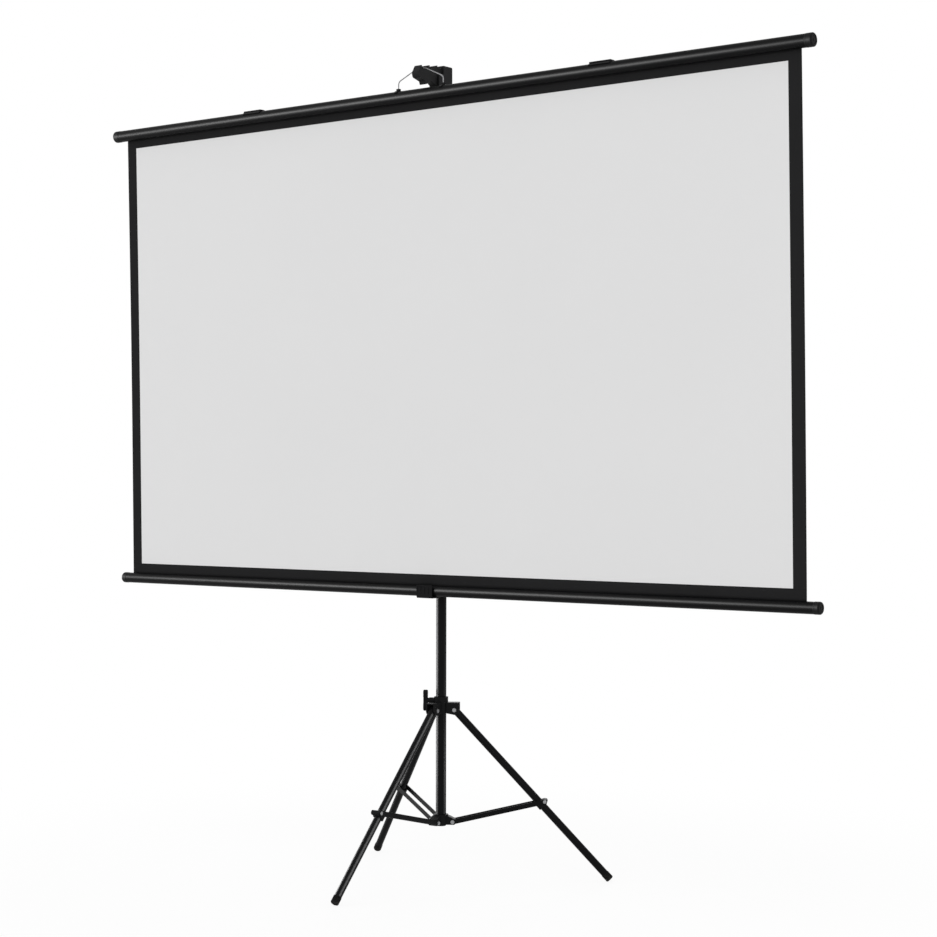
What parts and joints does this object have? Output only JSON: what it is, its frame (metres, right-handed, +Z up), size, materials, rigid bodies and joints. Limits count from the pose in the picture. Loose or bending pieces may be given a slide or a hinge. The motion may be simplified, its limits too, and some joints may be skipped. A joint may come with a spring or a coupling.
{
  "type": "tripod projection screen",
  "caption": "Pull-down projection screen on a folding tripod stand: roller casing hung from a notched arm on a telescopic mast, weight bar held by a hook.",
  "frame": {"origin": "on the floor, in the middle of the footprint", "axes": "+Z up, the screen faces -Y, +X to the right as the viewer sees it"},
  "size_m": [2.364, 0.7174, 2.1941],
  "materials": {
    "black_steel": "satin black paint",
    "black_aluminium": "satin black lacquer",
    "black_plastic": "moulded black",
    "rubber": "matt black",
    "bright_steel": "zinc plated",
    "plain_aluminium": "mill finish",
    "plain_steel": "bare",
    "screen_cloth": "matt white front with a black border and a black back"
  },
  "bodies": {
    "stand": {"column": "black_steel", "column_foot_plug": "black_plastic", "lower_collar": "black_plastic", "mast_clamp": "black_plastic", "bar_hook": "black_plastic", "hook_screw": "bright_steel", "strut_pivot_bolt_front": "bright_steel", "strut_pivot_bolt_right": "bright_steel", "strut_pivot_bolt_left": "bright_steel"},
    "hub": {"leg_hub": "black_plastic", "leg_pivot_bolt_front": "bright_steel", "leg_pivot_bolt_right": "bright_steel", "leg_pivot_bolt_left": "bright_steel"},
    "hub_knob": {"hub_knob": "black_plastic"},
    "mast_clamp_knob": {"mast_clamp_knob": "black_plastic"},
    "mast": {"mast": "black_steel", "mast_guide_bush": "black_plastic", "head_socket": "black_plastic", "keystone_arm": "black_plastic", "arm_bolt": "bright_steel", "casing_tube": "black_aluminium", "casing_cap_left": "black_plastic", "casing_cap_right": "black_plastic", "spring_spindle": "plain_steel", "roller_spring": "plain_steel", "wall_clip_left": "black_steel", "wall_clip_right": "black_steel", "bail_lug_left": "black_steel", "bail_lug_right": "black_steel", "hanger_bail": "bright_steel", "screen_fabric": "screen_cloth"},
    "roller": {"roller_tube": "plain_aluminium", "roller_plug_left": "black_plastic", "roller_plug_right": "black_plastic"},
    "bottom_bar": {"bar_tube": "black_aluminium", "bar_cap_left": "black_plastic", "bar_cap_right": "black_plastic", "hem_rod": "plain_steel"},
    "leg_front": {"leg_front": "black_steel", "foot_front": "rubber", "leg_bracket_front": "black_plastic"},
    "strut_front": {"strut_front_1": "black_steel", "strut_front_2": "black_steel", "strut_rivet_front_1": "bright_steel", "strut_rivet_front_2": "bright_steel"},
    "leg_right": {"leg_right": "black_steel", "foot_right": "rubber", "leg_bracket_right": "black_plastic"},
    "strut_right": {"strut_right_1": "black_steel", "strut_right_2": "black_steel", "strut_rivet_right_1": "bright_steel", "strut_rivet_right_2": "bright_steel"},
    "leg_left": {"leg_left": "black_steel", "foot_left": "rubber", "leg_bracket_left": "black_plastic"},
    "strut_left": {"strut_left_1": "black_steel", "strut_left_2": "black_steel", "strut_rivet_left_1": "bright_steel", "strut_rivet_left_2": "bright_steel"}
  },
  "joints": [
    {"name": "leg_fold", "type": "slide", "parent": "stand", "child": "hub", "axis": [0, 0, 1], "range_m": [0, 0.2762]},
    {"name": "leg_front_swing", "type": "hinge", "parent": "hub", "child": "leg_front", "pos_m": [0.00155, 0.06765, 0.45581], "axis": [0.9991, 0.0419, 0], "range_deg": [0, 32.01]},
    {"name": "leg_right_swing", "type": "hinge", "parent": "hub", "child": "leg_right", "pos_m": [0.03124, 0.12445, 0.45581], "axis": [-0.5358, 0.8443, 0], "range_deg": [0, 32.01]},
    {"name": "leg_left_swing", "type": "hinge", "parent": "hub", "child": "leg_left", "pos_m": [-0.03279, 0.12176, 0.45581], "axis": [-0.4633, -0.8862, 0], "range_deg": [0, 32.01]},
    {"name": "strut_front_swing", "type": "hinge", "parent": "stand", "child": "strut_front", "pos_m": [0.00138, 0.07165, 0.154], "axis": [-0.9991, -0.0419, 0], "range_deg": [0, 57.95]},
    {"name": "strut_right_swing", "type": "hinge", "parent": "stand", "child": "strut_right", "pos_m": [0.02786, 0.1223, 0.154], "axis": [0.5358, -0.8443, 0], "range_deg": [0, 57.95]},
    {"name": "strut_left_swing", "type": "hinge", "parent": "stand", "child": "strut_left", "pos_m": [-0.02925, 0.11991, 0.154], "axis": [0.4633, 0.8862, 0], "range_deg": [0, 57.95]},
    {"name": "hub_knob_turn", "type": "hinge", "parent": "hub", "child": "hub_knob", "pos_m": [0, 0.10462, 0.48031], "axis": [-0.8443, -0.5358, 0], "continuous": true},
    {"name": "mast_clamp_turn", "type": "hinge", "parent": "stand", "child": "mast_clamp_knob", "pos_m": [0, 0.10462, 1.02], "axis": [0, 1, 0], "continuous": true},
    {"name": "mast_height", "type": "slide", "parent": "stand", "child": "mast", "axis": [0, 0, 1], "range_m": [0, 0.25]},
    {"name": "bar_lift", "type": "slide", "parent": "mast", "child": "bottom_bar", "axis": [0, -0.0214, 0.9998], "range_m": [0, 1.285], "deforming": ["screen_fabric"]},
    {"name": "roller_turn", "type": "hinge", "parent": "mast", "child": "roller", "pos_m": [0, 0.01262, 2.10689], "axis": [1, 0, 0], "continuous": true}
  ],
  "couplings": [
    {"joint": "leg_front_swing", "follows": "leg_fold", "rad_per_m": 2.0221},
    {"joint": "leg_right_swing", "follows": "leg_fold", "rad_per_m": 2.0221},
    {"joint": "leg_left_swing", "follows": "leg_fold", "rad_per_m": 2.0221},
    {"joint": "strut_front_swing", "follows": "leg_fold", "rad_per_m": 3.6614},
    {"joint": "strut_right_swing", "follows": "leg_fold", "rad_per_m": 3.6614},
    {"joint": "strut_left_swing", "follows": "leg_fold", "rad_per_m": 3.6614},
    {"joint": "roller_turn", "follows": "bar_lift", "rad_per_m": 104.71}
  ]
}
